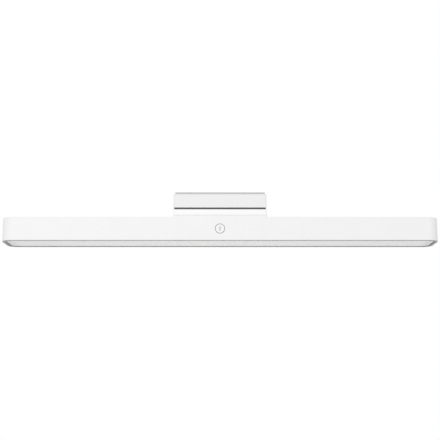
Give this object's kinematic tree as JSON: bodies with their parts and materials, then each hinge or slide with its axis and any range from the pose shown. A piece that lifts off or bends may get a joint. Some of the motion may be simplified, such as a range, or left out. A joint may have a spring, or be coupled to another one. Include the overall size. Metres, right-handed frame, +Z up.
{
  "type": "light bar",
  "caption": "Slim cordless light bar with an opal underside and a round push button, tilting on a stick-on magnetic bracket.",
  "frame": {"origin": "centre of the adhesive pad's upper face, which sticks under a shelf or ledge", "axes": "+X along the bar to the right as seen from the front, -Y towards the front with the push button, +Z up out of the adhesive face"},
  "size_m": [0.3306, 0.0325, 0.0373],
  "materials": {
    "white_shell": "satin",
    "soft_white": "satin",
    "light_grey": "satin",
    "bright_white": "satin",
    "black_steel": "satin",
    "pad_foam": "matte",
    "grey_plastic": "matte",
    "plain_steel": "satin",
    "magnet_plating": "satin",
    "screw_steel": "satin",
    "pin_steel": "polished",
    "acetal": "satin",
    "opal_panel": "satin",
    "white_reflector": "satin",
    "board_aluminium": "satin",
    "warm_phosphor": "satin",
    "cool_phosphor": "satin",
    "contact_brass": "polished",
    "cell_foil": "satin",
    "foam_tape": "matte",
    "green_board": "satin",
    "chip_black": "satin",
    "capacitor_tan": "satin",
    "connector_white": "satin",
    "wire_red": "satin",
    "wire_black": "satin",
    "socket_steel": "satin",
    "silicone": "satin",
    "ribbon_tan": "satin",
    "mark_grey": "satin"
  },
  "bodies": {
    "magnetic_base": {"adhesive_pad": "pad_foam", "base_shell": "soft_white", "base_cover": "soft_white", "base_screws": "screw_steel", "magnet_carrier": "grey_plastic", "magnet_yoke": "plain_steel", "magnet_1": "magnet_plating", "magnet_2": "magnet_plating", "magnet_3": "magnet_plating"},
    "bracket": {"bracket_plate": "bright_white", "keeper_plate": "black_steel", "keeper_screws": "screw_steel", "friction_bushes": "acetal", "hinge_plugs": "bright_white"},
    "light_bar": {"bar_housing": "white_shell", "hinge_leaf": "plain_steel", "hinge_leaf_screws": "screw_steel", "hinge_pin": "pin_steel", "hinge_washers": "acetal", "diffuser": "opal_panel", "diffuser_frame": "light_grey", "light_tray": "white_reflector", "tray_screws": "screw_steel", "led_board": "board_aluminium", "warm_leds": "warm_phosphor", "cool_leds": "cool_phosphor", "led_header_pins": "contact_brass", "cell_left": "cell_foil", "cell_right": "cell_foil", "cell_tapes": "foam_tape", "control_board": "green_board", "board_screws": "screw_steel", "controller_chip": "chip_black", "charger_chip": "chip_black", "driver_inductor": "chip_black", "small_capacitors": "capacitor_tan", "cell_connectors": "connector_white", "positive_wires": "wire_red", "negative_wires": "wire_black", "usb_socket": "socket_steel", "usb_tongue": "chip_black", "usb_contacts": "contact_brass", "return_dome": "silicone", "tact_switch": "chip_black", "switch_board": "green_board", "switch_screws": "screw_steel", "switch_ribbon": "ribbon_tan"},
    "power_button": {"button_cap": "white_shell", "button_mark": "mark_grey"}
  },
  "joints": [
    {"name": "detach", "type": "slide", "parent": "magnetic_base", "child": "bracket", "axis": [0, 0, -1], "range_m": [0, 0.03]},
    {"name": "tilt", "type": "hinge", "parent": "bracket", "child": "light_bar", "pos_m": [0, 0.0114, -0.01625], "axis": [1, 0, 0], "range_deg": [0, 90]},
    {"name": "button_press", "type": "slide", "parent": "light_bar", "child": "power_button", "axis": [0, 1, 0], "range_m": [0, 0.0005], "stiffness_N_per_m": 1500, "springref_m": -0.0004, "deforming": ["return_dome"]}
  ]
}
